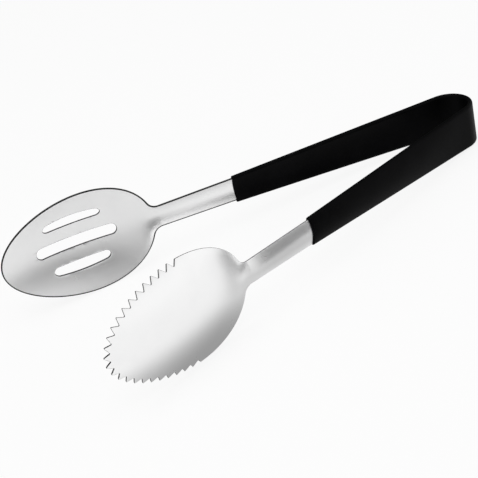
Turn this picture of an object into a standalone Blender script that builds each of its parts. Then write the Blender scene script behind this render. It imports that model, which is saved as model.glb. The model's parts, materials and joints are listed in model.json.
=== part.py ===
"""Spoon tongs: one stainless strip bent into a V, with a slotted spoon and a serrated spoon.

The bend is the spring. A thin black cover is drawn over the bend and both handles.
The tongs lie on their side, on both spoon rims and a small flat under the bend, as on a table:
X runs from the bend to the spoons, Y is the way they open, and Z is up.
The origin is below the middle of the tongs, on the table. Lengths are metres.
"""

import math

import bmesh
import bpy
import numpy as np
from mathutils import Vector

# Whole tongs
OVERALL_LENGTH = 0.2500  # back of the covered bend to the spoon tips, along the middle line
REST_SPREAD_ANGLE = 21.8  # degrees between the arms when nothing squeezes them
PIECE_GAP = 0.0003  # between two lengths of the strip, or of the cover, that meet

# Strip
SHEET_THICKNESS = 0.0010
BEND_RADIUS = 0.0118  # to the middle of the sheet
BEND_STRIP_WIDTH = 0.0205
GRIP_END_STRIP_WIDTH = 0.0129
NECK_STRIP_WIDTH = 0.0117
BARE_STRIP_LENGTH = 0.0437  # steel that shows between a grip and its spoon
ARCH_HEIGHT = 0.0015  # the middle of the strip stands out this far from its edges
ARCH_RUN_IN = 0.0450  # the flat strip takes its arch over this length

# Spoons
SPOON_LENGTH = 0.0809
SPOON_WIDTH = 0.0540
SPOON_DEPTH = 0.0074
SPOON_TOE_IN_ANGLE = 1.5  # degrees that each rim leans towards the other spoon
NECK_FILLET_RADIUS = 0.0055
NECK_END_FULLER_SHARE = 0.13  # how much wider the outline is near the neck than near the tip
BOWL_PROFILE_POWER = 2.1  # 2 is a plain dish; more gives a flatter bottom and steeper walls
CHANNEL_FADE_SHARE = 0.40  # of the spoon's length, over which the strip's arch runs out in the bowl

# Slots in the first spoon
MIDDLE_SLOT_LENGTH = 0.0426
MIDDLE_SLOT_WIDTH = 0.0061
SIDE_SLOT_LENGTH = 0.0302
SIDE_SLOT_WIDTH = 0.0053
SIDE_SLOT_BOW = 0.28  # share of its width that a side slot loses at its ends, on its outer side
SLOT_SPACING = 0.01285
CUT_OVERRUN = 0.0020  # each cutter goes this far past the sheet

# Teeth round the front of the second spoon
SERRATED_LENGTH = 0.0470  # along the spoon, back from its tip
TOOTH_PITCH = 0.0048
TOOTH_HEIGHT = 0.00245
TOOTH_TIP_FLAT = 0.0003
TOOTH_ROOT_FLAT = 0.0005
TOOTH_BACKING = 0.0010  # plain band between the roots and the first inner ring of the mesh

# Cover
COVER_WALL = 0.0005
COVER_CLEARANCE = 0.0003  # to the flat of the strip
COVER_EDGE_RELIEF = 0.0002  # more room than that at the strip's edges
REST_FLAT_SHARE = 0.50  # of the wall, taken off flat where the bend stands on the table

# Counts of faces
STRIP_COLUMNS = 8
RUN_IN_ROWS = 8
BEND_ROWS = 16
FILLET_STEPS = 5
PLAIN_RIM_STEPS = 10
SLOTTED_RIM_STEPS = 26
OUTLINE_SAMPLES = 720
INNER_RING_SHARES = (0.84, 0.64, 0.42, 0.20)
SLOT_END_STEPS = 10
SLOT_SIDE_STEPS = 10
COVER_FACE_STEPS = 8
COVER_EDGE_STEPS = 6
SOLVER_STEPS = 60
SHARP_ANGLE = 35.0  # degrees; a steeper edge is drawn sharp

# Worked out from these
ARM_ANGLE = math.radians(REST_SPREAD_ANGLE) / 2
TOE_IN = math.radians(SPOON_TOE_IN_ANGLE)
COVER_RADIUS = SHEET_THICKNESS / 2 + COVER_CLEARANCE + COVER_WALL
TIP_REACH = OVERALL_LENGTH - BEND_RADIUS - COVER_RADIUS
TIP_OFFSET = BEND_RADIUS - SPOON_LENGTH * math.tan(TOE_IN)
SPOON_TIP = (TIP_REACH + TIP_OFFSET * math.sin(ARM_ANGLE)) / math.cos(ARM_ANGLE)
NECK = SPOON_TIP - SPOON_LENGTH
GRIP_END = NECK - BARE_STRIP_LENGTH
SPOON_MIDDLE = NECK + SPOON_LENGTH / 2
SLOTTED_SIDE = -1
SERRATED_SIDE = 1


def clear_scene():
    for obj in list(bpy.data.objects):
        bpy.data.objects.remove(obj)


def make_material(name, colour, roughness, metallic):
    material = bpy.data.materials.new(name)
    material.use_nodes = True
    shader = material.node_tree.nodes["Principled BSDF"]
    shader.inputs["Base Color"].default_value = (*colour, 1)
    shader.inputs["Roughness"].default_value = roughness
    shader.inputs["Metallic"].default_value = metallic
    return material


def eased(share):
    """0 before the start, 1 after the end, and level at both."""
    share = min(max(share, 0), 1)
    return share * share * (3 - 2 * share)


def bisect(function, low, high):
    """Where the function passes zero between low, where it is below, and high, where it is above."""
    for _ in range(SOLVER_STEPS):
        middle = (low + high) / 2
        if function(middle) < 0:
            low = middle
        else:
            high = middle
    return (low + high) / 2


# An arm is drawn in three lengths: along it from the bend, across it, and out from the bend's centre.


def strip_half_width(along):
    stations = (0, GRIP_END, NECK)
    widths = (BEND_STRIP_WIDTH, GRIP_END_STRIP_WIDTH, NECK_STRIP_WIDTH)
    return float(np.interp(along, stations, widths)) / 2


def arch_height(along):
    return ARCH_HEIGHT * eased(along / ARCH_RUN_IN)


def outline_point(turn):
    """Point of the spoon's plain outline: turn 0 is the tip, pi the neck."""
    along = SPOON_MIDDLE + SPOON_LENGTH / 2 * math.cos(turn)
    fullness = 1 - NECK_END_FULLER_SHARE * math.cos(turn)
    return Vector((along, SPOON_WIDTH / 2 * fullness * math.sin(turn)))


def outline_normal(turn):
    along_slope = -SPOON_LENGTH / 2 * math.sin(turn)
    fullness = 1 - NECK_END_FULLER_SHARE * math.cos(turn)
    across_slope = fullness * math.cos(turn) + NECK_END_FULLER_SHARE * math.sin(turn) ** 2
    return Vector((SPOON_WIDTH / 2 * across_slope, -along_slope)).normalized()


def fillet_centre(turn):
    return outline_point(turn) + NECK_FILLET_RADIUS * outline_normal(turn)


def above_strip(turn):
    """How far the fillet at this turn stands clear of the strip's edge."""
    centre = fillet_centre(turn)
    return centre.y - NECK_FILLET_RADIUS - strip_half_width(centre.x)


FILLET_TURN = bisect(lambda turn: -above_strip(turn), math.pi / 2, math.pi)
FILLET_CENTRE = fillet_centre(FILLET_TURN)
FILLET_END = outline_point(FILLET_TURN)
SPOON_START = FILLET_CENTRE.x


def half_width(along):
    """Half of the sheet's width, teeth left out, at any place along an arm."""
    if along <= SPOON_START:
        return strip_half_width(along)
    if along < FILLET_END.x:
        run = along - SPOON_START
        return FILLET_CENTRE.y - math.sqrt(NECK_FILLET_RADIUS**2 - run**2)
    turn = math.acos(min((along - SPOON_MIDDLE) / (SPOON_LENGTH / 2), 1))
    return outline_point(turn).y


def bowl_drop(along, across):
    """How deep the bowl is below its rim."""
    x = (along - SPOON_MIDDLE) / (SPOON_LENGTH / 2)
    y = across / (SPOON_WIDTH / 2 * (1 - NECK_END_FULLER_SHARE * x))
    return SPOON_DEPTH * (1 - min(math.hypot(x, y), 1) ** BOWL_PROFILE_POWER)


def channel_rise(along, across):
    """How far the strip's arch lifts this place from its edges. It runs out inside the bowl."""
    fade = 1 - eased((along - SPOON_START) / (SPOON_LENGTH * CHANNEL_FADE_SHARE))
    width = half_width(along)
    if not fade or not width:
        return 0
    return arch_height(along) * fade * max(1 - (across / width) ** 2, 0)


def sheet_offset(along, across):
    """Distance of the middle of the sheet from the line through the bend's centre along the arm."""
    edge = BEND_RADIUS - max(along - NECK, 0) * math.tan(TOE_IN)
    drop = bowl_drop(along, across) if along > NECK else 0
    return edge + math.hypot(channel_rise(along, across), drop)


def sheet_point(along, across, side):
    return Vector((along, side * sheet_offset(along, across), across))


# Meshes


def add_rows(bm, rows, closed):
    """Quads between each row of vertices and the next."""
    for row, following in zip(rows, rows[1:]):
        count = len(row) if closed else len(row) - 1
        for i in range(count):
            j = (i + 1) % len(row)
            bm.faces.new((row[i], row[j], following[j], following[i]))


def new_object(name, bm, material):
    mesh = bpy.data.meshes.new(name)
    bm.to_mesh(mesh)
    bm.free()
    mesh.materials.append(material)
    obj = bpy.data.objects.new(name, mesh)
    bpy.context.scene.collection.objects.link(obj)
    return obj


def thicken(obj, thickness, offset):
    solid = obj.modifiers.new("sheet", "SOLIDIFY")
    solid.thickness = thickness
    solid.offset = offset
    solid.use_even_offset = True
    solid.use_quality_normals = True


def shade(mesh):
    mesh.shade_smooth()
    mesh.set_sharp_from_angle(angle=math.radians(SHARP_ANGLE))


def finish(obj):
    """Keeps the shape that the modifiers make, with its cut edges drawn sharp."""
    graph = bpy.context.evaluated_depsgraph_get()
    mesh = bpy.data.meshes.new_from_object(obj.evaluated_get(graph))
    obj.modifiers.clear()
    obj.data = mesh
    mesh.name = obj.name
    shade(mesh)


def evenly(first, last, steps):
    return [first + (last - first) * i / steps for i in range(steps + 1)]


def fillet_points():
    """The neck's fillet, from the strip's edge to the spoon's outline, ends left out."""
    to_outline = FILLET_END - FILLET_CENTRE
    end = math.atan2(to_outline.y, to_outline.x)
    angles = evenly(-math.pi / 2, end, FILLET_STEPS)[1:-1]
    return [FILLET_CENTRE + NECK_FILLET_RADIUS * Vector((math.cos(a), math.sin(a))) for a in angles]


def plain_rim(first_turn, last_turn, steps):
    """Pairs of a rim point and the plain outline's point beside it: here they are the same."""
    points = [outline_point(turn) for turn in evenly(first_turn, last_turn, steps)]
    return [(point, point) for point in points]


def toothed_rim():
    """Rim of the serrated spoon, over its top: the plain run, then the teeth, then the plain run."""
    start_share = (SPOON_TIP - SERRATED_LENGTH - SPOON_MIDDLE) / (SPOON_LENGTH / 2)
    start = math.acos(min(max(start_share, math.cos(FILLET_TURN)), 1))
    turns = np.linspace(start, -start, OUTLINE_SAMPLES)
    samples = np.array([outline_point(turn) for turn in turns])
    steps = np.linalg.norm(np.diff(samples, axis=0), axis=1)
    lengths = np.concatenate([[0], np.cumsum(steps)])
    count = max(round(lengths[-1] / TOOTH_PITCH), 1)
    pitch = lengths[-1] / count
    teeth = []
    for i in range(count):
        places = [
            (i * pitch + TOOTH_TIP_FLAT / 2, 0),
            ((i + 1 / 2) * pitch - TOOTH_ROOT_FLAT / 2, TOOTH_HEIGHT),
            ((i + 1 / 2) * pitch + TOOTH_ROOT_FLAT / 2, TOOTH_HEIGHT),
            ((i + 1) * pitch - TOOTH_TIP_FLAT / 2, 0),
        ]
        for place, depth in places:
            turn = float(np.interp(place, lengths, turns))
            point = outline_point(turn)
            teeth.append((point - depth * outline_normal(turn), point))
    before = plain_rim(FILLET_TURN, start, PLAIN_RIM_STEPS)
    after = plain_rim(-start, -FILLET_TURN, PLAIN_RIM_STEPS)
    return before[:-1] + teeth + after[1:]


def slotted_rim():
    return plain_rim(FILLET_TURN, -FILLET_TURN, 2 * SLOTTED_RIM_STEPS)


def spoon_arm(name, side, rim, material):
    """Strip and spoon as one sheet: rows along the strip, then rings about the spoon's middle."""
    bm = bmesh.new()
    neck_width = strip_half_width(SPOON_START)
    stations = evenly(PIECE_GAP / 2, ARCH_RUN_IN, RUN_IN_ROWS) + [GRIP_END, SPOON_START]
    shares = evenly(-1, 1, STRIP_COLUMNS)
    rows = []
    for along in stations:
        width = strip_half_width(along)
        rows.append([bm.verts.new(sheet_point(along, width * share, side)) for share in shares])
    add_rows(bm, rows, closed=False)

    fillet = [(point, point) for point in fillet_points()]
    lower_fillet = [(Vector((p.x, -p.y)), Vector((p.x, -p.y))) for p, _ in reversed(fillet)]
    round_rim = fillet + rim + lower_fillet
    corner = Vector((SPOON_START, neck_width))
    neck_row = [Vector((SPOON_START, neck_width * share)) for share in shares]
    edge = [corner] + [point for point, _ in round_rim] + neck_row[:-1]
    plain = [corner] + [point for _, point in round_rim] + neck_row[:-1]
    middle = Vector((SPOON_MIDDLE, 0))
    band_share = 1 - (TOOTH_HEIGHT + TOOTH_BACKING) / (SPOON_WIDTH / 2)
    inner = [middle + band_share * (point - middle) for point in plain]
    half_way = [(a + b) / 2 for a, b in zip(edge, inner)]
    rings = [half_way, inner]
    for share in INNER_RING_SHARES:
        rings.append([middle + band_share * share * (point - middle) for point in plain])

    strip_end = rows[-1]
    outer = [strip_end[-1]]
    outer += [bm.verts.new(sheet_point(p.x, p.y, side)) for p, _ in round_rim]
    outer += strip_end[:-1]
    ring_verts = [outer]
    for ring in rings:
        ring_verts.append([bm.verts.new(sheet_point(p.x, p.y, side)) for p in ring])
    add_rows(bm, ring_verts, closed=True)
    centre = bm.verts.new(sheet_point(SPOON_MIDDLE, 0, side))
    last = ring_verts[-1]
    for i, vert in enumerate(last):
        bm.faces.new((vert, last[(i + 1) % len(last)], centre))
    bmesh.ops.recalc_face_normals(bm, faces=bm.faces)
    arm = new_object(name, bm, material)
    thicken(arm, SHEET_THICKNESS, 0)
    return arm


def slot_outline(length, width, bow, outwards):
    """Points round a slot, from its own middle. The edge on the inner side stays straight."""
    radius = width / 2
    reach = length / 2 - radius
    straight = []
    for end in (1, -1):
        first = 0 if end > 0 else math.pi
        for turn in evenly(first - math.pi / 2, first + math.pi / 2, SLOT_END_STEPS):
            straight.append((end * reach + radius * math.cos(turn), radius * math.sin(turn)))
        for share in evenly(1, -1, SLOT_SIDE_STEPS)[1:-1]:
            straight.append((end * reach * share, end * radius))
    points = []
    for along, across in straight:
        from_inner_edge = radius + outwards * across
        narrowed = from_inner_edge * (1 - bow * (along / (length / 2)) ** 2)
        points.append((along, outwards * (narrowed - radius)))
    return points


def slot_cutter(name, length, width, across, bow, material):
    """Prism through the bottom of the slotted spoon, in the outline of a slot."""
    bm = bmesh.new()
    near = SLOTTED_SIDE * (TIP_OFFSET - CUT_OVERRUN)
    far = SLOTTED_SIDE * (BEND_RADIUS + SPOON_DEPTH + SHEET_THICKNESS + CUT_OVERRUN)
    outwards = math.copysign(1, across)
    outline = slot_outline(length, width, bow, outwards)
    face = bm.faces.new([bm.verts.new((SPOON_MIDDLE + x, near, across + z)) for x, z in outline])
    grown = bmesh.ops.extrude_face_region(bm, geom=[face])
    moved = [item for item in grown["geom"] if isinstance(item, bmesh.types.BMVert)]
    bmesh.ops.translate(bm, verts=moved, vec=(0, far - near, 0))
    bmesh.ops.recalc_face_normals(bm, faces=bm.faces)
    cutter = new_object(name, bm, material)
    cutter.hide_render = True
    cutter.display_type = "WIRE"
    return cutter


def cut_slots(arm, material):
    slots = (
        ("upper_slot", SIDE_SLOT_LENGTH, SIDE_SLOT_WIDTH, SLOT_SPACING, SIDE_SLOT_BOW),
        ("middle_slot", MIDDLE_SLOT_LENGTH, MIDDLE_SLOT_WIDTH, 0, 0),
        ("lower_slot", SIDE_SLOT_LENGTH, SIDE_SLOT_WIDTH, -SLOT_SPACING, SIDE_SLOT_BOW),
    )
    cutters = []
    for name, length, width, across, bow in slots:
        cutter = slot_cutter(name, length, width, across, bow, material)
        cut = arm.modifiers.new(name, "BOOLEAN")
        cut.operation = "DIFFERENCE"
        cut.solver = "EXACT"
        cut.object = cutter
        cutters.append(cutter)
    return cutters


def cover_section(width, arch):
    """Outside of the cover round a strip of this half width: pairs of out and across."""
    centre = width - SHEET_THICKNESS / 2 + COVER_EDGE_RELIEF
    points = []
    for face in (1, -1):
        for share in evenly(-face, face, COVER_FACE_STEPS):
            across = centre * share
            slope = -2 * arch * across / width**2
            lean = math.atan(slope)
            out = arch * (1 - (across / width) ** 2) + face * COVER_RADIUS * math.cos(lean)
            points.append((out, across - face * COVER_RADIUS * math.sin(lean)))
        end_lean = math.atan(-2 * arch * centre / width**2)
        end_out = arch * (1 - (centre / width) ** 2)
        for turn in evenly(face * math.pi / 2, -face * math.pi / 2, COVER_EDGE_STEPS)[1:-1]:
            out = end_out + COVER_RADIUS * math.sin(end_lean + turn)
            points.append((out, face * (centre + COVER_RADIUS * math.cos(end_lean + turn))))
    return points


def cover_piece(name, rings, material):
    """Tube through these rings, with a wall that grows inwards."""
    bm = bmesh.new()
    add_rows(bm, [[bm.verts.new(point) for point in ring] for ring in rings], closed=True)
    bmesh.ops.recalc_face_normals(bm, faces=bm.faces)
    if bm.calc_volume(signed=True) < 0:
        bmesh.ops.reverse_faces(bm, faces=bm.faces)
    piece = new_object(name, bm, material)
    thicken(piece, COVER_WALL, -1)
    return piece


def arm_grip(name, side, material):
    rings = []
    for along in evenly(PIECE_GAP / 2, ARCH_RUN_IN, RUN_IN_ROWS) + [GRIP_END]:
        section = cover_section(strip_half_width(along), arch_height(along))
        rings.append([(along, side * (BEND_RADIUS + out), across) for out, across in section])
    return cover_piece(name, rings, material)


def bend_angles():
    """Angles round the bend's centre, from the serrated arm to the slotted one."""
    gap_angle = PIECE_GAP / 2 / BEND_RADIUS
    first = math.pi / 2 + ARM_ANGLE + gap_angle
    return evenly(first, 2 * math.pi - first, BEND_ROWS)


def bend_point(angle, out, across):
    radius = BEND_RADIUS + out
    return (radius * math.cos(angle), radius * math.sin(angle), across)


def bend_grip(name, material):
    section = cover_section(BEND_STRIP_WIDTH / 2, 0)
    rings = [[bend_point(a, out, across) for out, across in section] for a in bend_angles()]
    return cover_piece(name, rings, material)


def spring_bend(name, material):
    bm = bmesh.new()
    rows = []
    for angle in bend_angles():
        places = evenly(-BEND_STRIP_WIDTH / 2, BEND_STRIP_WIDTH / 2, STRIP_COLUMNS)
        rows.append([bm.verts.new(bend_point(angle, 0, across)) for across in places])
    add_rows(bm, rows, closed=False)
    bend = new_object(name, bm, material)
    thicken(bend, SHEET_THICKNESS, 0)
    return bend


# Placing


def points_of(objects):
    """Every vertex of these objects, in the frame that the bend's centre is the origin of."""
    rows = []
    for obj in objects:
        turn = obj.matrix_basis
        rows += [turn @ vert.co for vert in obj.data.vertices]
    return np.array(rows)


def heights(points, tilt):
    return points[:, 0] * math.sin(tilt) + points[:, 2] * math.cos(tilt)


def flatten_below(piece, up, height):
    """Cuts the piece off flat where it reaches below this height."""
    bm = bmesh.new()
    bm.from_mesh(piece.data)
    whole = bm.verts[:] + bm.edges[:] + bm.faces[:]
    bmesh.ops.bisect_plane(bm, geom=whole, plane_co=up * height, plane_no=-up, clear_outer=True)
    bmesh.ops.holes_fill(bm, edges=[edge for edge in bm.edges if edge.is_boundary])
    bmesh.ops.recalc_face_normals(bm, faces=bm.faces)
    bm.to_mesh(piece.data)
    bm.free()
    shade(piece.data)


def lay_on_table(tongs, arms, rear, pieces):
    """Tips the tongs until both spoons and the rear piece touch the table, and centres them on it."""
    front = points_of(arms)
    back = points_of([rear])
    flat = COVER_WALL * REST_FLAT_SHARE
    quarter = math.pi / 4
    tilt = bisect(lambda t: heights(front, t).min() - heights(back, t).min() - flat, -quarter, quarter)
    up = Vector((math.sin(tilt), 0, math.cos(tilt)))
    flatten_below(rear, up, heights(back, tilt).min() + flat)
    everything = points_of(pieces)
    lengthways = everything[:, 0] * math.cos(tilt) - everything[:, 2] * math.sin(tilt)
    sideways = everything[:, 1]
    tongs.rotation_euler = (0, -tilt, 0)
    tongs.location = (
        -(lengthways.min() + lengthways.max()) / 2,
        -(sideways.min() + sideways.max()) / 2,
        -heights(everything, tilt).min(),
    )


def new_empty(name, parent):
    empty = bpy.data.objects.new(name, None)
    bpy.context.scene.collection.objects.link(empty)
    empty.parent = parent
    return empty


def main():
    clear_scene()
    steel = make_material("stainless_steel", (0.78, 0.78, 0.78), 0.25, 1)
    vinyl = make_material("black_vinyl", (0.012, 0.012, 0.013), 0.38, 0)

    slotted = spoon_arm("slotted_spoon_arm", SLOTTED_SIDE, slotted_rim(), steel)
    cutters = cut_slots(slotted, steel)
    serrated = spoon_arm("serrated_spoon_arm", SERRATED_SIDE, toothed_rim(), steel)
    slotted_grip = arm_grip("slotted_arm_grip", SLOTTED_SIDE, vinyl)
    serrated_grip = arm_grip("serrated_arm_grip", SERRATED_SIDE, vinyl)
    bend = spring_bend("spring_bend", steel)
    rear_grip = bend_grip("bend_grip", vinyl)

    fixed = [slotted, slotted_grip, bend, rear_grip]
    moving = [serrated, serrated_grip]
    for piece in fixed + moving:
        finish(piece)
    for cutter in cutters:
        bpy.data.objects.remove(cutter)
    for piece in (slotted, slotted_grip):
        piece.rotation_euler = (0, 0, SLOTTED_SIDE * ARM_ANGLE)
    for piece in moving:
        piece.rotation_euler = (0, 0, SERRATED_SIDE * ARM_ANGLE)
    bpy.context.view_layer.update()

    tongs = new_empty("tongs", None)
    lay_on_table(tongs, [slotted, serrated], rear_grip, fixed + moving)
    hinge = new_empty("spring_hinge", tongs)
    for piece in fixed:
        piece.parent = tongs
    for piece in moving:
        piece.parent = hinge
    bpy.context.view_layer.update()


main()
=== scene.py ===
import json
import math

import bmesh
import bpy
from mathutils import Matrix, Vector
from mathutils.bvhtree import BVHTree


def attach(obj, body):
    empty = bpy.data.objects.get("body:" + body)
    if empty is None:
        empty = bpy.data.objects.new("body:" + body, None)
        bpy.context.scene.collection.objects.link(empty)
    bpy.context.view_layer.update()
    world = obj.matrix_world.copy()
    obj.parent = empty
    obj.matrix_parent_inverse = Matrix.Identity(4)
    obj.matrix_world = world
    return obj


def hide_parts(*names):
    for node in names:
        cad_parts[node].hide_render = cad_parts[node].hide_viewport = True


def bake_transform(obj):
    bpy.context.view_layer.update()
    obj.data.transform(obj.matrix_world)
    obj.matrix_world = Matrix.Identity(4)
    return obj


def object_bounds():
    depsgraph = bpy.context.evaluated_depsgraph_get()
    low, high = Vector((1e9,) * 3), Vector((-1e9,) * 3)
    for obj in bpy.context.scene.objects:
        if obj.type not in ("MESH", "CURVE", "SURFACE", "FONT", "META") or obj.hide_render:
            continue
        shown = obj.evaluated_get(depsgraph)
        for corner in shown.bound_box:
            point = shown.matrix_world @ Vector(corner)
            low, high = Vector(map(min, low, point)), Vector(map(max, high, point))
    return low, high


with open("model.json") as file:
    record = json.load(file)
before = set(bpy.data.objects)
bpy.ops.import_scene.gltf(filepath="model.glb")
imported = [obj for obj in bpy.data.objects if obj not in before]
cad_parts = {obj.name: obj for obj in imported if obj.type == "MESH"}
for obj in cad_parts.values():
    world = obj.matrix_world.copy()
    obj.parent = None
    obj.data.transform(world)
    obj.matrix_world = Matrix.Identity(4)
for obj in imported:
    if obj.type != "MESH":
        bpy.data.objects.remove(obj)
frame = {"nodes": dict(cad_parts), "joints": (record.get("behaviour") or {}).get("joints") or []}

cadLow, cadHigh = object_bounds()
print("frame loaded:", ", ".join(sorted(frame["nodes"])))

# the tongs are drawn round the bend's centre: X ahead, Y the way they open, Z across the strip
flexJoint = frame["joints"][0]
bendUp = -Vector(flexJoint["axis"]).normalized()
bendAhead = Vector((bendUp.z, 0, -bendUp.x))
bendCentre = Vector(flexJoint["pos_m"])
turnTongs = Matrix((bendAhead, (0, 1, 0), bendUp)).transposed().to_4x4()
placeTongs = Matrix.Translation(bendCentre) @ turnTongs
serratedSide = 1
slottedSide = -1
aboutZero = 1e-6

# the two arms and the bend are one pressed strip of steel
strip = {
    "thickness": 0.0010,
    "bendRadius": 0.0118,      # to the middle of the sheet
    "armAngle": 10.9,          # degrees from each arm to the middle line
    "overallLength": 0.2500,
    "bendWidth": 0.0205,
    "gripEndWidth": 0.0129,
    "neckWidth": 0.0117,
    "bareLength": 0.0437,      # steel between a grip and its spoon
    "archHeight": 0.0015,
    "archRunIn": 0.0450,
    "pieceGap": 0.0003,
    "columns": 16,             # of faces across the strip
    "coveredRows": 14,
    "bareRows": 14,
    "slottedEdgeRound": 0.00042,
    "serratedEdgeRound": 0.00018,
    "edgeSteps": (0, 0.15, 0.5, 1, 1.7),     # of that radius, in from the edge
    "cutReach": 0.8,           # of that radius, how far in a face still counts as cut
    "neckSpread": 0.8,         # of the strip's width, where the rings take hold of the neck
    "mergeReach": 0.00001,
    "smoothAngle": 40,         # degrees, edges up to this are shaded smooth
    "faceSlot": 0,             # material slots, in use until the cut edges are marked
    "cutSlot": 1,
}

spoon = {
    "length": 0.0809,
    "width": 0.0540,
    "depth": 0.0074,
    "toeIn": 1.5,              # degrees
    "neckFillet": 0.0055,
    "neckFuller": 0.13,        # how much wider the outline is near the neck than near the tip
    "profilePower": 2.1,       # more gives a flatter bottom and steeper walls
    "channelFade": 0.40,       # of the length, over which the strip's arch runs out in the bowl
    "neckSoftness": 0.30,      # rounds the line where the bowl's wall leaves the neck
    "softReach": 0.25,         # of half the length, on either side of that line
    "leastHalfWidth": 0.001,   # keeps the sums for the bowl from dividing by nothing at the tip
    "filletSearchSteps": 60,
    "filletSteps": 7,
    "plainSteps": 16,
    "slottedRimSteps": 56,
    "rings": 20,
    "rimRings": 6,             # of those, the ones between the edge and the foot of the teeth
    "footRun": 0.0150,         # past the neck, where that foot comes to run beside the edge
}

cover = {
    "wall": 0.0005,
    "clearance": 0.0003,       # to the flat of the strip
    "edgeRelief": 0.0002,      # more room than that at the strip's edges
    "sectionSides": 26,
    "faceCuts": 19,
    "bendSteps": 20,
    "rows": 30,
    "mergeReach": 0.00002,
    "endRound": 0.00042,
    "endSegments": 4,
    "smoothAngle": 50,
}

armAngle = math.radians(strip["armAngle"])
toeIn = math.radians(spoon["toeIn"])
coverRadius = strip["thickness"] / 2 + cover["clearance"] + cover["wall"]
tipReach = strip["overallLength"] - strip["bendRadius"] - coverRadius
tipOffset = strip["bendRadius"] - spoon["length"] * math.tan(toeIn)
spoonTip = (tipReach + tipOffset * math.sin(armAngle)) / math.cos(armAngle)
neckPlace = spoonTip - spoon["length"]
gripEnd = neckPlace - strip["bareLength"]
spoonMiddle = neckPlace + spoon["length"] / 2
spoonCentre = Vector((spoonMiddle, 0))


def eased(share):
    share = min(max(share, 0), 1)
    return share * share * (3 - 2 * share)


def evenly(first, last, steps):
    return [first + (last - first) * i / steps for i in range(steps + 1)]


def between(value, stops, results):
    # straight from one result to the next between their stops
    for i in range(len(stops) - 1):
        if value <= stops[i + 1]:
            share = max((value - stops[i]) / (stops[i + 1] - stops[i]), 0)
            return results[i] + (results[i + 1] - results[i]) * share
    return results[-1]


# the pressed sheet: along an arm, across it, and out from the bend's centre
def stripHalfWidth(along):
    widths = (strip["bendWidth"], strip["gripEndWidth"], strip["neckWidth"])
    return between(along, (0, gripEnd, neckPlace), widths) / 2


def archHeight(along):
    return strip["archHeight"] * eased(along / strip["archRunIn"])


def outlinePoint(turn):
    # turn 0 is the tip and pi the neck
    fullness = 1 - spoon["neckFuller"] * math.cos(turn)
    along = spoonMiddle + spoon["length"] / 2 * math.cos(turn)
    return Vector((along, spoon["width"] / 2 * fullness * math.sin(turn)))


def outlineNormal(turn):
    fullness = 1 - spoon["neckFuller"] * math.cos(turn)
    alongSlope = -spoon["length"] / 2 * math.sin(turn)
    acrossSlope = fullness * math.cos(turn) + spoon["neckFuller"] * math.sin(turn) ** 2
    return Vector((spoon["width"] / 2 * acrossSlope, -alongSlope)).normalized()


def filletCentreAt(turn):
    return outlinePoint(turn) + spoon["neckFillet"] * outlineNormal(turn)


def findFilletTurn():
    low, high = math.pi / 2, math.pi
    for step in range(spoon["filletSearchSteps"]):
        middle = (low + high) / 2
        centre = filletCentreAt(middle)
        if centre.y - spoon["neckFillet"] - stripHalfWidth(centre.x) > 0:
            low = middle
        else:
            high = middle
    return (low + high) / 2


filletTurn = findFilletTurn()
filletCentre = filletCentreAt(filletTurn)
filletEnd = outlinePoint(filletTurn)
spoonStart = filletCentre.x


def halfWidth(along):
    if along <= spoonStart:
        return stripHalfWidth(along)
    if along < filletEnd.x:
        run = along - spoonStart
        return filletCentre.y - math.sqrt(spoon["neckFillet"] ** 2 - run ** 2)
    return outlinePoint(math.acos(min((along - spoonMiddle) / (spoon["length"] / 2), 1))).y


def acrossPlace(width, step, radius):
    # even steps over the middle of the strip, then closer ones where its edge is round
    side = -1 if step < 0 else 1
    inwards = strip["columns"] // 2 - abs(step)
    last = len(strip["edgeSteps"]) - 1
    if inwards <= last:
        return side * (width - strip["edgeSteps"][inwards] * radius)
    flatHalf = width - strip["edgeSteps"][last] * radius
    return flatHalf * step / (strip["columns"] // 2 - last)


def bowlDrop(along, across):
    x = (along - spoonMiddle) / (spoon["length"] / 2)
    y = across / (spoon["width"] / 2 * (1 - spoon["neckFuller"] * x))
    inside = 1 - math.hypot(x, y) ** spoon["profilePower"]
    width = max(halfWidth(along), spoon["leastHalfWidth"])
    middle = max(1 - (across / width) ** 2, 0)
    nearNeck = eased(1 - abs(x + 1) / spoon["softReach"])
    softness = spoon["neckSoftness"] * nearNeck * middle
    return spoon["depth"] * (inside + math.hypot(inside, softness)) / 2


def channelRise(along, across):
    fade = 1 - eased((along - spoonStart) / (spoon["length"] * spoon["channelFade"]))
    width = halfWidth(along)
    if not fade or not width:
        return 0
    return archHeight(along) * fade * max(1 - (across / width) ** 2, 0)


def sheetPoint(flat, side):
    along, across = flat
    offset = strip["bendRadius"] - max(along - neckPlace, 0) * math.tan(toeIn)
    drop = bowlDrop(along, across)
    return Vector((along, side * (offset + math.hypot(channelRise(along, across), drop)), across))


def beginPiece(name):
    piece = bpy.context.object
    piece.name = name
    piece.data.name = name
    bpy.ops.object.mode_set(mode="EDIT")
    return piece


def pick(piece, kind, test):
    # selects the vertices, edges or faces that pass the test, and nothing else
    bpy.ops.mesh.select_mode(type={"verts": "VERT", "edges": "EDGE", "faces": "FACE"}[kind])
    bpy.ops.mesh.select_all(action="DESELECT")
    mesh = bmesh.from_edit_mesh(piece.data)
    for part in getattr(mesh, kind):
        part.select_set(bool(test(part)))
    bmesh.update_edit_mesh(piece.data)


def endPiece():
    bpy.ops.object.mode_set(mode="OBJECT")


def only(piece):
    bpy.ops.object.select_all(action="DESELECT")
    piece.select_set(True)
    bpy.context.view_layer.objects.active = piece


def editAll(piece):
    only(piece)
    bpy.ops.object.mode_set(mode="EDIT")
    bpy.ops.mesh.select_all(action="SELECT")


def mergeClose(piece, reach):
    editAll(piece)
    bpy.ops.mesh.remove_doubles(threshold=reach)
    endPiece()


def faceOutwards(piece):
    editAll(piece)
    bpy.ops.mesh.normals_make_consistent(inside=False)
    endPiece()


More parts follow.
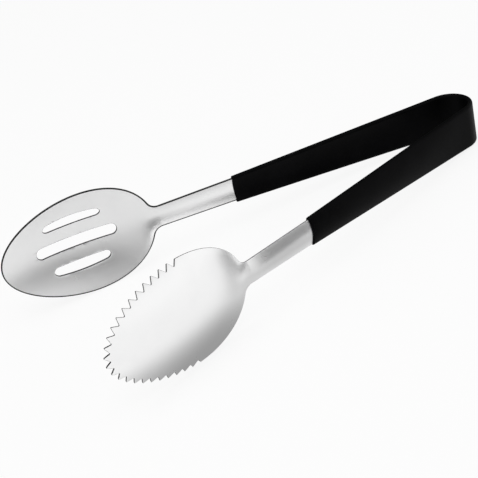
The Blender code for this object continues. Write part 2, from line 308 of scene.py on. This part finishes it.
def useModifier(piece, kind, **settings):
    only(piece)
    modifier = piece.modifiers.new(kind.lower(), kind)
    for setting, value in settings.items():
        setattr(modifier, setting, value)
    bpy.ops.object.modifier_apply(modifier=modifier.name)


def setPlace(piece, matrix):
    # into the mesh, so that the object stays at the origin
    piece.data.transform(matrix)
    piece.data.update()


def smoothPiece(piece, sharpAngle):
    only(piece)
    bpy.ops.object.shade_smooth_by_angle(angle=math.radians(sharpAngle))


def filletPoints():
    # from the strip's edge to the spoon's outline, ends left out
    toOutline = filletEnd - filletCentre
    last = math.atan2(toOutline.y, toOutline.x)
    turns = evenly(-math.pi / 2, last, spoon["filletSteps"])[1:-1]
    return [filletCentre + spoon["neckFillet"] * Vector((math.cos(t), math.sin(t))) for t in turns]


def plainRun(firstTurn, lastTurn, steps):
    return [(point, point) for point in map(outlinePoint, evenly(firstTurn, lastTurn, steps))]


teeth = {
    "serratedLength": 0.0470,
    "pitch": 0.0048,
    "height": 0.00245,
    "tipFlat": 0.0003,
    "rootFlat": 0.0005,
    "backing": 0.0010,
    "tipRound": 0.06,          # of a flank, rounded off
    "rootRound": 0.11,
    "flankShares": (0.3, 0.6), # more points down a flank
    "samples": 900,            # of the outline, to measure the pitch along it
}


def softEnd(share, reach):
    # level at first, then rounded into a straight flank
    if share >= reach:
        return share
    return max(share + reach, 0) ** 2 / (4 * reach)


def softRamp(share):
    if share > 0.5:
        return 1 - softEnd(1 - share, teeth["rootRound"])
    return softEnd(share, teeth["tipRound"])


def serratedRim():
    # pairs of an edge point and the plain outline's point beside it, over the top from the neck
    startShare = (spoonTip - teeth["serratedLength"] - spoonMiddle) / (spoon["length"] / 2)
    start = math.acos(startShare)
    turns = evenly(start, -start, teeth["samples"])
    lengths = [0]
    for a, b in zip(turns, turns[1:]):
        lengths.append(lengths[-1] + (outlinePoint(b) - outlinePoint(a)).length)
    count = round(lengths[-1] / teeth["pitch"])
    pitch = lengths[-1] / count
    flank = pitch / 2 - (teeth["tipFlat"] + teeth["rootFlat"]) / 2
    tip, root = teeth["tipRound"], teeth["rootRound"]
    aroundRoot = (1 - root, 1 - root / 2, 1, 1 + root / 2, 1 + root)
    shares = (-tip, 0, tip) + teeth["flankShares"] + aroundRoot
    places = []
    for i in range(count):
        down = [(i * pitch + teeth["tipFlat"] / 2 + flank * s, softRamp(s)) for s in shares]
        up = [((2 * i + 1) * pitch - place, depth) for place, depth in reversed(down)]
        places += down + up
    rim = []
    for place, depth in places:
        turn = between(place, lengths, turns)
        point = outlinePoint(turn)
        rim.append((point - teeth["height"] * depth * outlineNormal(turn), point))
    before = plainRun(filletTurn, start, spoon["plainSteps"])[:-1]
    after = plainRun(-start, -filletTurn, spoon["plainSteps"])[1:]
    return before + rim + after


def slottedRim():
    return plainRun(filletTurn, -filletTurn, 2 * spoon["slottedRimSteps"])


def flatBlank(name, sides, rows):
    # a disc of rings with a tongue of rows at its neck, one unit between two rings
    rings = spoon["rings"]
    neckSteps = strip["columns"] / 2 + 0.25     # a little over, so that the last corner counts
    bpy.ops.object.select_all(action="DESELECT")
    bpy.ops.mesh.primitive_circle_add(
        vertices=sides, radius=rings, fill_type="NGON", rotation=(0, 0, math.pi / 2)
    )
    bpy.ops.object.transform_apply(rotation=True)
    piece = beginPiece(name)
    bpy.ops.mesh.select_all(action="SELECT")
    for ring in range(rings - 1):
        bpy.ops.mesh.inset(thickness=1, use_even_offset=False)
    bpy.ops.mesh.poke()

    def atNeck(edge):
        return all(
            vert.co.length > rings - 0.5
            and vert.co.x < 0
            and abs(math.asin(vert.co.y / rings)) < neckSteps * math.tau / sides
            for vert in edge.verts
        )

    pick(piece, "edges", atNeck)
    for row in range(rows):
        bpy.ops.mesh.extrude_region_move(TRANSFORM_OT_translate={"value": (-rings, 0, 0)})
    endPiece()
    return piece


def armStations():
    # from the neck back to the bend, the neck itself left out
    bare = evenly(spoonStart, gripEnd, strip["bareRows"])[1:]
    covered = evenly(gripEnd, strip["pieceGap"] / 2, strip["coveredRows"])[1:]
    return bare + covered


def flatRim(rim, radius):
    # the whole edge, from the middle of the neck by its lower side, the tip and its upper side
    half = strip["columns"] // 2
    width = stripHalfWidth(spoonStart)
    hold = width * strip["neckSpread"]
    spread = [(acrossPlace(width, i, radius), hold * i / half) for i in range(half, 0, -1)]
    upper = [(Vector((spoonStart, a)), Vector((spoonStart, b))) for a, b in spread]
    lower = [(Vector((spoonStart, -a)), Vector((spoonStart, -b))) for a, b in spread]
    upperFillet = [(point, point) for point in filletPoints()]
    lowerFillet = [(Vector((p.x, -p.y)),) * 2 for p in reversed(filletPoints())]
    middle = [(Vector((spoonStart, 0)),) * 2]
    clockwise = upper[:1] + upperFillet + rim + lowerFillet + lower + middle + upper[:0:-1]
    start = clockwise.index(middle[0])
    return list(reversed(clockwise[start:] + clockwise[:start]))


def edgeFinder(rim):
    # thin walls on the sheared edges, to measure how far in a point lies
    upper = [Vector((along, stripHalfWidth(along))) for along in reversed(armStations())]
    upper += [Vector((spoonStart, stripHalfWidth(spoonStart)))] + filletPoints()
    lower = [Vector((point.x, -point.y)) for point in reversed(upper)]
    line = upper + [point for point, plain in rim] + lower
    corners = [(point.x, point.y, height) for point in line for height in (-1, 1)]
    spans = range(len(line) - 1)
    walls = [(2 * i, 2 * i + 1, 2 * i + 3, 2 * i + 2) for i in spans]
    return BVHTree.FromPolygons(corners, walls)


def thinEdges(piece, flats, finder, radius):
    # a sheet that thins out towards its edge gets a round one when it is made solid
    half = strip["thickness"] / 2
    group = piece.vertex_groups.new(name="thickness")
    inFrom = [finder.find_nearest((flat[0], flat[1], 0))[3] for flat in flats]
    for i, distance in enumerate(inFrom):
        over = max(radius - distance, 0)
        height = half - radius + math.sqrt(radius ** 2 - over ** 2)
        group.add([i], height / half, "REPLACE")
    for face in piece.data.polygons:
        middle = sum(inFrom[i] for i in face.vertices) / len(face.vertices)
        isCut = middle < radius * strip["cutReach"]
        face.material_index = strip["cutSlot"] if isCut else strip["faceSlot"]
    return group.name


def inwardAt(edge, place):
    # into the sheet from the plain outline, and ahead out of the neck
    point = edge[place][0]
    if point.x == spoonStart:
        return Vector((1, -point.y / stripHalfWidth(spoonStart)))
    alongEdge = edge[(place + 1) % len(edge)][1] - edge[place - 1][1]
    return Vector((-alongEdge.y, alongEdge.x)).normalized()


def footPoint(plain, inwardWay):
    # the foot of the teeth runs beside the edge, but near the neck it is drawn to the middle
    band = teeth["height"] + teeth["backing"]
    drawnIn = spoonCentre + (1 - band / (spoon["width"] / 2)) * (plain - spoonCentre)
    pastNeck = eased((plain.x - spoonStart) / spoon["footRun"])
    return drawnIn.lerp(plain + inwardWay * band, pastNeck)


def ringPoint(edge, place, inwards, radius):
    # the flat place of a vertex some rings in from the edge
    point, plain = edge[place]
    inwardWay = inwardAt(edge, place)
    foot = footPoint(plain, inwardWay)
    last = len(strip["edgeSteps"]) - 1
    if inwards <= last:
        return point + inwardWay * strip["edgeSteps"][inwards] * radius
    if inwards < spoon["rimRings"]:
        nearRim = point + inwardWay * strip["edgeSteps"][last] * radius
        return nearRim.lerp(foot, (inwards - last) / (spoon["rimRings"] - last))
    share = (spoon["rings"] - inwards) / (spoon["rings"] - spoon["rimRings"])
    return spoonCentre + (foot - spoonCentre) * share


def pressArm(piece, edge, side, radius):
    # every flat vertex goes to its place in the pressed sheet
    rings = spoon["rings"]
    sides = len(edge)
    stations = armStations()
    neckMiddle = Vector((spoonStart, 0))
    shift = next(i for i, (point, plain) in enumerate(edge) if point == neckMiddle)
    flats = []
    for vert in piece.data.vertices:
        x, y = vert.co.x, vert.co.y
        reach = math.hypot(x, y)
        inTongue = reach > rings + 0.5
        if inTongue:
            neckX = -math.sqrt(rings ** 2 - y ** 2)
            row = round((neckX - x) / rings)
            column = round(math.asin(y / rings) * sides / math.tau)
            along = stations[row - 1]
            flats.append((along, acrossPlace(stripHalfWidth(along), column, radius)))
        else:
            step = round((math.atan2(y, x) + math.pi) * sides / math.tau)
            place = (step + shift) % sides
            flats.append(tuple(ringPoint(edge, place, rings - round(reach), radius)))
    for vert, flat in zip(piece.data.vertices, flats):
        vert.co = sheetPoint(flat, side)
    piece.data.update()
    return flats


def addFinishSlots(piece, used):
    for slot in (strip["faceSlot"], strip["cutSlot"]):
        piece.data.materials.append(None)
    for face in piece.data.polygons:
        face.material_index = used


slots = {
    "middleLength": 0.0426,
    "middleWidth": 0.0061,
    "sideLength": 0.0302,
    "sideWidth": 0.0053,
    "sideBow": 0.28,           # of its width, what a side slot loses at its ends
    "spacing": 0.01285,
    "roundSides": 48,
    "sideCuts": 5,
    "cutterHeight": 0.0300,
    "edgeRound": 0.00018,
    "roundSegments": 3,
    "sharpAngle": 50,          # steeper edges than this are rounded
    "mergeReach": 0.00006,
}


def cutSlot(piece, length, width, across, bow):
    # a cylinder pulled long, right through the sheet, with its outer side bowed
    bpy.ops.object.select_all(action="DESELECT")
    bpy.ops.mesh.primitive_cylinder_add(
        vertices=slots["roundSides"],
        radius=width / 2,
        depth=slots["cutterHeight"],
        location=(spoonMiddle, slottedSide * strip["bendRadius"], across),
        rotation=(math.pi / 2, 0, 0),
    )
    cutter = beginPiece("slotCutter")
    for end in (1, -1):
        pick(cutter, "verts", lambda vert: vert.co.x * end > aboutZero)
        bpy.ops.transform.translate(value=(end * (length - width) / 2, 0, 0))
    pick(
        cutter, "edges",
        lambda edge: abs(edge.verts[0].co.x - edge.verts[1].co.x) > (length - width) / 2,
    )
    bpy.ops.mesh.subdivide(number_cuts=slots["sideCuts"])
    endPiece()
    outwards = math.copysign(1, across)
    for vert in cutter.data.vertices:
        fromInner = width / 2 + outwards * vert.co.y
        fromInner *= 1 - bow * (vert.co.x / (length / 2)) ** 2
        vert.co.y = outwards * (fromInner - width / 2)
    addFinishSlots(cutter, strip["cutSlot"])
    useModifier(piece, "BOOLEAN", operation="DIFFERENCE", solver="EXACT", object=cutter)
    bpy.data.objects.remove(cutter)


def makeSpoonArm(name, side, rim, radius):
    edge = flatRim(rim, radius)
    arm = flatBlank(name, len(edge), len(armStations()))
    flats = pressArm(arm, edge, side, radius)
    addFinishSlots(arm, strip["faceSlot"])
    group = thinEdges(arm, flats, edgeFinder(rim), radius)
    mergeClose(arm, strip["mergeReach"])
    faceOutwards(arm)
    useModifier(
        arm, "SOLIDIFY", thickness=strip["thickness"], offset=0,
        vertex_group=group, thickness_vertex_group=0,
    )
    return arm


def roundSlots(piece):
    useModifier(
        piece, "BEVEL", width=slots["edgeRound"], segments=slots["roundSegments"],
        material=strip["cutSlot"], use_clamp_overlap=False,
        limit_method="ANGLE", angle_limit=math.radians(slots["sharpAngle"]),
    )


def markCutEdges(piece):
    # the sheared edges of the sheet are marked: rougher than its faces, and darker from a painted
    # dark reflection
    marks = [float(face.material_index) for face in piece.data.polygons]
    cut = piece.data.attributes.new("cutEdge", "FLOAT", "FACE")
    cut.data.foreach_set("value", marks)
    for face in piece.data.polygons:
        face.material_index = strip["faceSlot"]


def keepInBox(piece):
    # rims and tips run a few hundredths of a millimetre past the CAD's facets
    for vert in piece.data.vertices:
        vert.co = [min(max(at, low), high) for at, low, high in zip(vert.co, cadLow, cadHigh)]
    piece.data.update()


def turnArm(piece, side):
    setPlace(piece, placeTongs @ Matrix.Rotation(side * armAngle, 4, "Z"))
    keepInBox(piece)


slottedArm = makeSpoonArm(
    "slottedSpoonArm", slottedSide, slottedRim(), strip["slottedEdgeRound"]
)
cutSlot(slottedArm, slots["sideLength"], slots["sideWidth"], slots["spacing"], slots["sideBow"])
cutSlot(slottedArm, slots["middleLength"], slots["middleWidth"], 0, 0)
cutSlot(slottedArm, slots["sideLength"], slots["sideWidth"], -slots["spacing"], slots["sideBow"])
mergeClose(slottedArm, slots["mergeReach"])
roundSlots(slottedArm)
serratedArm = makeSpoonArm(
    "serratedSpoonArm", serratedSide, serratedRim(), strip["serratedEdgeRound"]
)
for arm, side in ((slottedArm, slottedSide), (serratedArm, serratedSide)):
    smoothPiece(arm, strip["smoothAngle"])
    markCutEdges(arm)
    turnArm(arm, side)
    print(arm.name, len(arm.data.polygons), "faces")


# the bend and the cover: one half is spun and drawn out, then mirrored
armAhead = Vector((math.cos(armAngle), math.sin(armAngle), 0))
armOut = Vector((-math.sin(armAngle), math.cos(armAngle), 0))


def spinBend(steps):
    # a quarter of the way round, from the back of the bend to the serrated arm
    bpy.ops.mesh.select_all(action="SELECT")
    bpy.ops.mesh.spin(
        steps=steps, angle=math.pi / 2 - armAngle, center=(0, 0, 0), axis=(0, 0, 1)
    )


def mirrorHalf(piece):
    useModifier(
        piece, "MIRROR", use_axis=(False, True, False), use_clip=True,
        merge_threshold=cover["mergeReach"],
    )
    mergeClose(piece, cover["mergeReach"])
    faceOutwards(piece)


def makeSpringBend():
    # the strip's own middle length, all under the cover
    bpy.ops.object.select_all(action="DESELECT")
    bpy.ops.mesh.primitive_plane_add(size=strip["bendWidth"], rotation=(math.pi / 2, 0, 0))
    bpy.ops.object.transform_apply(rotation=True)
    bend = beginPiece("springBend")
    pick(bend, "verts", lambda vert: vert.co.x > 0)
    bpy.ops.mesh.delete(type="VERT")
    bpy.ops.mesh.select_all(action="SELECT")
    bpy.ops.transform.translate(value=(strip["bendWidth"] / 2 - strip["bendRadius"], 0, 0))
    bpy.ops.mesh.subdivide(number_cuts=strip["columns"] - 1)
    spinBend(cover["bendSteps"])
    endPiece()
    mirrorHalf(bend)
    useModifier(bend, "SOLIDIFY", thickness=strip["thickness"], offset=0, use_even_offset=True)
    smoothPiece(bend, strip["smoothAngle"])
    setPlace(bend, placeTongs)
    return bend


def archCover(piece):
    # the sleeve takes the strip's arch: each point leans out with the sheet below it
    for vert in piece.data.vertices:
        along = vert.co.dot(armAhead)
        if along <= 0:
            continue
        arch = archHeight(along)
        width = stripHalfWidth(along)
        centre = width - strip["thickness"] / 2 + cover["edgeRelief"]
        across = max(min(vert.co.z, centre), -centre)
        lean = math.atan(-2 * arch * across / width ** 2)
        outwards = vert.co.dot(armOut) - strip["bendRadius"]
        past = vert.co.z - across
        rise = arch * (1 - (across / width) ** 2)
        height = rise + outwards * math.cos(lean) + past * math.sin(lean)
        place = across - outwards * math.sin(lean) + past * math.cos(lean)
        vert.co = armAhead * along + armOut * (strip["bendRadius"] + height)
        vert.co.z = place
    piece.data.update()


def makeCover():
    bpy.ops.object.select_all(action="DESELECT")
    bpy.ops.mesh.primitive_circle_add(
        vertices=cover["sectionSides"], radius=coverRadius, rotation=(math.pi / 2, 0, 0)
    )
    bpy.ops.object.transform_apply(rotation=True)
    skin = beginPiece("gripCover")

    # the round section is pulled out to the strip's width, with edges across its two flats
    centre = strip["bendWidth"] / 2 - strip["thickness"] / 2 + cover["edgeRelief"]
    bpy.ops.mesh.select_all(action="SELECT")
    bpy.ops.transform.translate(value=(-strip["bendRadius"], 0, 0))
    for end in (1, -1):
        pick(skin, "verts", lambda vert: vert.co.z * end > aboutZero)
        bpy.ops.transform.translate(value=(0, 0, end * centre))
    pick(skin, "edges", lambda edge: edge.calc_length() > centre)
    bpy.ops.mesh.subdivide(number_cuts=cover["faceCuts"])
    spinBend(cover["bendSteps"])

    # then it is drawn out along the arm, each row a little narrower than the last
    rowLength = gripEnd / cover["rows"]
    rowStep = tuple(armAhead * rowLength)
    for row in range(cover["rows"]):
        bpy.ops.mesh.extrude_region_move(TRANSFORM_OT_translate={"value": rowStep})
        selected = [v for v in bmesh.from_edit_mesh(skin.data).verts if v.select]
        oldCentre = centre
        along = (row + 1) * rowLength
        centre = stripHalfWidth(along) - strip["thickness"] / 2 + cover["edgeRelief"]
        for vert in selected:
            inner = max(min(vert.co.z, oldCentre), -oldCentre)
            vert.co.z += inner * (centre / oldCentre - 1)
        bmesh.update_edit_mesh(skin.data)
    endPiece()
    archCover(skin)
    mirrorHalf(skin)
    outerPoints = len(skin.data.vertices)
    useModifier(skin, "SOLIDIFY", thickness=cover["wall"], offset=-1, use_even_offset=True)

    # the outer rim at each open end is rounded
    def atOpenEnd(edge):
        return all(
            vert.index < outerPoints
            and armAhead.dot((vert.co.x, abs(vert.co.y), 0)) > gripEnd - aboutZero
            for vert in edge.verts
        )

    editAll(skin)
    pick(skin, "edges", atOpenEnd)
    bpy.ops.mesh.bevel(
        offset=cover["endRound"], segments=cover["endSegments"], affect="EDGES"
    )
    endPiece()
    smoothPiece(skin, cover["smoothAngle"])
    setPlace(skin, placeTongs)
    keepInBox(skin)
    return skin


springBend = makeSpringBend()
gripCover = makeCover()
for piece in (springBend, gripCover):
    print(piece.name, len(piece.data.polygons), "faces")


class Value:
    # one socket of a node, with the arithmetic of a number
    def __init__(self, kit, socket):
        self.kit = kit
        self.socket = socket

    def maths(self, operation, *terms):
        return self.kit.node("ShaderNodeMath", {"operation": operation}, dict(enumerate(terms)))

    def __add__(self, other):
        return self.maths("ADD", self, other)

    def __sub__(self, other):
        return self.maths("SUBTRACT", self, other)

    def __rsub__(self, other):
        return self.maths("SUBTRACT", other, self)

    def __mul__(self, other):
        return self.maths("MULTIPLY", self, other)

    def larger(self, other):
        return self.maths("MAXIMUM", self, other)

    def clipped(self):
        return self.kit.node("ShaderNodeClamp", {}, {0: self})

    def swing(self, size):
        # a noise lies round a half, so this goes both up and down
        return (self - 0.5) * size

    __radd__ = __add__
    __rmul__ = __mul__


class NodeKit:
    # the node tree of one material or of the world
    def __init__(self, owner):
        owner.use_nodes = True
        self.tree = owner.node_tree
        self.tree.nodes.clear()

    def node(self, kind, settings, inputs, output=0):
        made = self.tree.nodes.new(kind)
        for setting, value in settings.items():
            setattr(made, setting, value)
        for socket, value in inputs.items():
            if isinstance(value, Value):
                self.tree.links.new(value.socket, made.inputs[socket])
            else:
                made.inputs[socket].default_value = value
        return Value(self, made.outputs[output] if made.outputs else None)

    def noise(self, place, scale, detail, roughness):
        settings = {"noise_dimensions": "3D"}
        inputs = {"Vector": place, "Scale": scale, "Detail": detail, "Roughness": roughness}
        return self.node("ShaderNodeTexNoise", settings, inputs)

    def softStep(self, value, start, end, first, last):
        # from the first result to the last one, rounded at both ends
        return self.node("ShaderNodeMapRange", {"interpolation_type": "SMOOTHSTEP"}, {
            "Value": value, "From Min": start, "From Max": end, "To Min": first, "To Max": last,
        })

    def mixedColour(self, share, first, second):
        return self.node(
            "ShaderNodeMix", {"data_type": "RGBA"}, {"Factor": share, 6: first, 7: second}, 2
        )

    def mixedShader(self, share, first, second):
        return self.node("ShaderNodeMixShader", {}, {0: share, 1: first, 2: second})

    def glow(self, strength):
        return self.node("ShaderNodeEmission", {}, {"Strength": strength})

    def objectPlace(self):
        return self.node("ShaderNodeTexCoord", {}, {}, "Object")

    def finish(self, shader):
        self.node("ShaderNodeOutputMaterial", {}, {"Surface": shader})


def newMaterial(name):
    material = bpy.data.materials.new(name)
    return material, NodeKit(material)


def reliefShader(kit, height, strength, sockets):
    bump = kit.node(
        "ShaderNodeBump", {}, {"Strength": strength, "Distance": 1.0, "Height": height}
    )
    return kit.node("ShaderNodeBsdfPrincipled", {}, {**sockets, "Normal": bump})


# each pattern is a noise's scale, detail and roughness
steel = {
    "light": (0.94, 0.94, 0.94, 1),
    "dull": (0.89, 0.89, 0.895, 1),
    "edge": (0.04, 0.04, 0.04, 1),          # the sheared edges, near black: a painted dark reflection
    "smudges": (120, 5, 0.55),
    "smudgeStart": 0.45,
    "smudgeRise": 2.5,
    "smudgeShare": 0.5,
    "clouds": (45, 3, 0.5),
    "grain": (900, 4, 0.6),
    "brushing": (1, 3, 0.6),
    "brushStretch": (60, 2600, 2600),       # fine lines along the strip
    "roughness": 0.30,
    "cloudRoughness": 0.08,
    "brushRoughness": 0.06,
    "grainRoughness": 0.05,
    "edgeRoughness": 0.45,
    "brushHeight": 0.25,
    "grainHeight": 0.3,
    "reliefDepth": 0.000002,
    "reliefStrength": 0.6,
}


def makeSteel():
    material, kit = newMaterial("stainlessSteel")
    place = kit.objectPlace()
    clouds = kit.noise(place, *steel["clouds"])
    grain = kit.noise(place, *steel["grain"])
    stretched = kit.node(
        "ShaderNodeMapping", {}, {"Vector": place, "Scale": steel["brushStretch"]}
    )
    lines = kit.noise(stretched, *steel["brushing"])
    smudges = kit.noise(place, *steel["smudges"])
    tarnish = ((smudges - steel["smudgeStart"]) * steel["smudgeRise"]).clipped()
    cut = kit.node("ShaderNodeAttribute", {"attribute_name": "cutEdge"}, {}, "Fac")
    colour = kit.mixedColour(tarnish * steel["smudgeShare"], steel["light"], steel["dull"])
    # painted shade: the marked edges take a near-black colour for the dark they reflect
    colour = kit.mixedColour(cut, colour, steel["edge"])
    spread = clouds.swing(steel["cloudRoughness"]) + lines.swing(steel["brushRoughness"])
    roughness = spread + grain.swing(steel["grainRoughness"]) + steel["roughness"]
    roughness = roughness + cut * (steel["edgeRoughness"] - steel["roughness"])
    height = (lines * steel["brushHeight"] + grain * steel["grainHeight"]) * steel["reliefDepth"]
    kit.finish(reliefShader(kit, height, steel["reliefStrength"], {
        "Base Color": colour, "Metallic": 1.0, "Roughness": roughness.clipped(),
    }))
    return material


vinyl = {
    "dark": (0.0015, 0.0015, 0.0017, 1),
    "worn": (0.0045, 0.0045, 0.0050, 1),
    "wornStart": 0.42,
    "wornRise": 3,
    "wornShare": 0.6,
    "clouds": (70, 4, 0.6),
    "grain": (1700, 3, 0.6),
    "pebbles": (420, 2, 0.5),
    "roughness": 0.42,
    "cloudRoughness": 0.14,
    "grainRoughness": 0.10,
    "grainHeight": 0.5,
    "reliefDepth": 0.000012,
    "reliefStrength": 0.5,
    "refraction": 1.50,
    "shine": 0.032,
}


def makeVinyl():
    material, kit = newMaterial("blackVinyl")
    place = kit.objectPlace()
    clouds = kit.noise(place, *vinyl["clouds"])
    grain = kit.noise(place, *vinyl["grain"])
    pebbles = kit.noise(place, *vinyl["pebbles"])
    rubbed = ((clouds - vinyl["wornStart"]) * vinyl["wornRise"]).clipped()
    colour = kit.mixedColour(rubbed * vinyl["wornShare"], vinyl["dark"], vinyl["worn"])
    spread = clouds.swing(vinyl["cloudRoughness"]) + grain.swing(vinyl["grainRoughness"])
    roughness = spread + vinyl["roughness"]
    height = (grain * vinyl["grainHeight"] + pebbles) * vinyl["reliefDepth"]
    kit.finish(reliefShader(kit, height, vinyl["reliefStrength"], {
        "Base Color": colour, "Roughness": roughness.clipped(),
        "IOR": vinyl["refraction"], "Specular IOR Level": vinyl["shine"],
    }))
    return material


def paint(piece, material):
    piece.data.materials.clear()
    piece.data.materials.append(material)


steelMaterial = makeSteel()
for piece in (slottedArm, serratedArm, springBend):
    paint(piece, steelMaterial)
paint(gripCover, makeVinyl())
print("materials made")


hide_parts("slotted_spoon_arm")
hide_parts("serrated_spoon_arm")
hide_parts("spring_bend")
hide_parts("slotted_arm_grip", "bend_grip", "serrated_arm_grip")
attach(slottedArm, "slotted_half")
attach(serratedArm, "serrated_half")
for piece in (springBend, gripCover):
    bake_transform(piece)
print("bodies joined")


def seenRays(kit):
    camera = kit.node("ShaderNodeLightPath", {}, {}, "Is Camera Ray")
    outputs = camera.socket.node.outputs
    glossy = Value(kit, outputs["Is Glossy Ray"])
    through = Value(kit, outputs["Is Transmission Ray"])
    return camera, glossy.larger(through)


ground = {
    "size": 6.0,
    "colour": (0.90, 0.90, 0.90, 1),
    "glow": 0.85,              # how much of the floor that the camera sees is plain white
    "nearGlowInMetal": 0.2,    # the same in metal, from beside the slotted spoon
    "farGlowInMetal": 1.0,     # to beside the serrated one
    "nearGlowPlace": -0.05,
    "farGlowPlace": 0.03,
    "behindDepth": 0.68,       # painted shadow: metal shows the floor behind the tongs darker
    "behindStart": -0.05,
    "behindEnd": -0.11,
    "shadowCore": 0.2,           # of a painted shadow's reach, as dark all over
}

# painted shadows on the floor, seen only in the metal: place, reach and depth
paintedShadows = (
    ((0.080, 0.042, 0), (0.082, 0.043, 1), 0.65),
    ((0.000, 0.052, 0), (0.060, 0.028, 1), 0.43),
    ((0.010, -0.048, 0), (0.060, 0.040, 1), 0.35),
    ((0.072, -0.015, 0), (0.055, 0.045, 1), 0.10),
)


def paintedFloorShadow(kit, place, across):
    floorShade = kit.softStep(
        across, ground["behindEnd"], ground["behindStart"], ground["behindDepth"], 0
    )
    for centre, reach, depth in paintedShadows:
        away = kit.node("ShaderNodeMapping", {"vector_type": "TEXTURE"}, {
            "Vector": place, "Location": centre, "Scale": reach,
        })
        away = kit.node("ShaderNodeVectorMath", {"operation": "LENGTH"}, {0: away}, "Value")
        floorShade = floorShade.larger(kit.softStep(away, ground["shadowCore"], 1, depth, 0))
    return floorShade


def makeFloor():
    bpy.ops.object.select_all(action="DESELECT")
    bpy.ops.mesh.primitive_plane_add(size=ground["size"])
    floor = bpy.context.object
    floor.name = "floor"
    material, kit = newMaterial("paleFloor")
    camera, glossy = seenRays(kit)
    place = kit.objectPlace()
    across = kit.node("ShaderNodeSeparateXYZ", {}, {"Vector": place}, "Y")
    # painted light and shade in the metal: the floor glows dimly beside the slotted spoon and
    # fully beside the serrated one
    glowInMetal = kit.softStep(
        across, ground["nearGlowPlace"], ground["farGlowPlace"],
        ground["nearGlowInMetal"], ground["farGlowInMetal"],
    )
    share = camera * ground["glow"] + glossy * glowInMetal
    diffuse = kit.node("ShaderNodeBsdfDiffuse", {}, {"Color": ground["colour"]})
    lit = kit.mixedShader(share, diffuse, kit.glow(1.0))
    # painted shadows: in the metal the floor turns black over them
    kit.finish(kit.mixedShader(glossy * paintedFloorShadow(kit, place, across), lit, kit.glow(0.0)))
    paint(floor, material)


# painted reflections: upright cards beside the two necks, seen only in the metal, a grey one for
# painted shade and a glowing white one for a painted highlight
cards = {
    "paintedShadeCard": {"place": (-0.0150, 0.066, 0.020), "size": (0.060, 0.034),
                 "colour": (0.50, 0.50, 0.50, 1), "glow": 0.0},
    "paintedLightCard": {"place": (0.050, -0.075, 0.045), "size": (0.045, 0.090),
                  "colour": (0.90, 0.90, 0.90, 1), "glow": 1.0},
}


def makeCards():
    for name, card in cards.items():
        bpy.ops.object.select_all(action="DESELECT")
        bpy.ops.mesh.primitive_plane_add(size=1)
        reflectionCard = bpy.context.object
        reflectionCard.name = name
        width, height = card["size"]
        stand = Matrix.Rotation(math.pi / 2, 4, "X")
        shape = Matrix.Diagonal((width, height, 1, 1))
        setPlace(reflectionCard, Matrix.Translation(card["place"]) @ stand @ shape)
        material, kit = newMaterial(name)
        diffuse = kit.node("ShaderNodeBsdfDiffuse", {}, {"Color": card["colour"]})
        kit.finish(kit.mixedShader(card["glow"], diffuse, kit.glow(1.0)))
        paint(reflectionCard, material)
        reflectionCard.visible_camera = False
        reflectionCard.visible_diffuse = False
        reflectionCard.visible_shadow = False


studio = {
    "light": 0.55,             # on the object and the floor
    "ceilingTone": 0.45,       # what metal shows of the studio overhead
    "ceilingStart": 0.34,      # sine of its height
    "ceilingEnd": 0.62,
    "frontTone": 1.06,         # of the studio on the camera's side
    "backTone": 0.08,          # and behind the tongs
    "backStart": -0.72,
    "backEnd": -0.12,
}


def makeWorld():
    world = bpy.data.worlds.new("softStudio")
    bpy.context.scene.world = world
    kit = NodeKit(world)
    camera, glossy = seenRays(kit)
    way = kit.node("ShaderNodeTexCoord", {}, {}, "Generated")
    across = kit.node("ShaderNodeSeparateXYZ", {}, {"Vector": way}, "Y")
    up = Value(kit, across.socket.node.outputs["Z"])
    overhead = kit.softStep(
        up, studio["ceilingStart"], studio["ceilingEnd"], 1, studio["ceilingTone"]
    )
    behind = kit.softStep(
        across, studio["backStart"], studio["backEnd"], studio["backTone"], studio["frontTone"]
    )
    strength = camera + (1 - camera) * (
        glossy * overhead * behind + (1 - glossy) * studio["light"]
    )
    sky = kit.node("ShaderNodeBackground", {}, {"Color": (1, 1, 1, 1), "Strength": strength})
    kit.node("ShaderNodeOutputWorld", {}, {"Surface": sky})


softBox = {
    "place": (0.15, 0.15, 1.1),
    "size": 1.0,
    "power": 6.0,
}


def makeLamp():
    # overhead and turned to the tongs
    lamp = bpy.data.lights.new("topSoftBox", "AREA")
    lamp.shape = "SQUARE"
    lamp.size = softBox["size"]
    lamp.energy = softBox["power"]
    lampObject = bpy.data.objects.new("topSoftBox", lamp)
    bpy.context.scene.collection.objects.link(lampObject)
    lampObject.location = softBox["place"]
    lampObject.rotation_euler = (-lampObject.location).to_track_quat("-Z", "Y").to_euler()
    lampObject.visible_camera = False


# fitted to the photograph's outlines, from the bend's centre
view = {
    "place": (0.3963, 0.53064, 0.3150),
    "right": (-0.8280, 0.5262, -0.1936),
    "down": (0.4042, 0.3208, -0.8566),
    "focalPixels": 1383.02,
    "pictureWidth": 478,
    "sensor": 36.0,
}


def makeCamera():
    right = Vector(view["right"]).normalized()
    down = Vector(view["down"])
    down = (down - right * down.dot(right)).normalized()
    back = right.cross(-down)
    turn = Matrix((right, -down, back)).transposed().to_4x4()
    camera = bpy.data.cameras.new("camera")
    camera.sensor_width = view["sensor"]
    camera.lens = view["focalPixels"] / view["pictureWidth"] * view["sensor"]
    cameraObject = bpy.data.objects.new("camera", camera)
    bpy.context.scene.collection.objects.link(cameraObject)
    cameraObject.matrix_world = placeTongs @ Matrix.Translation(view["place"]) @ turn
    bpy.context.scene.camera = cameraObject


makeFloor()
makeCards()
makeWorld()
makeLamp()
makeCamera()
bpy.context.scene.view_settings.view_transform = "Standard"
print("stage set")
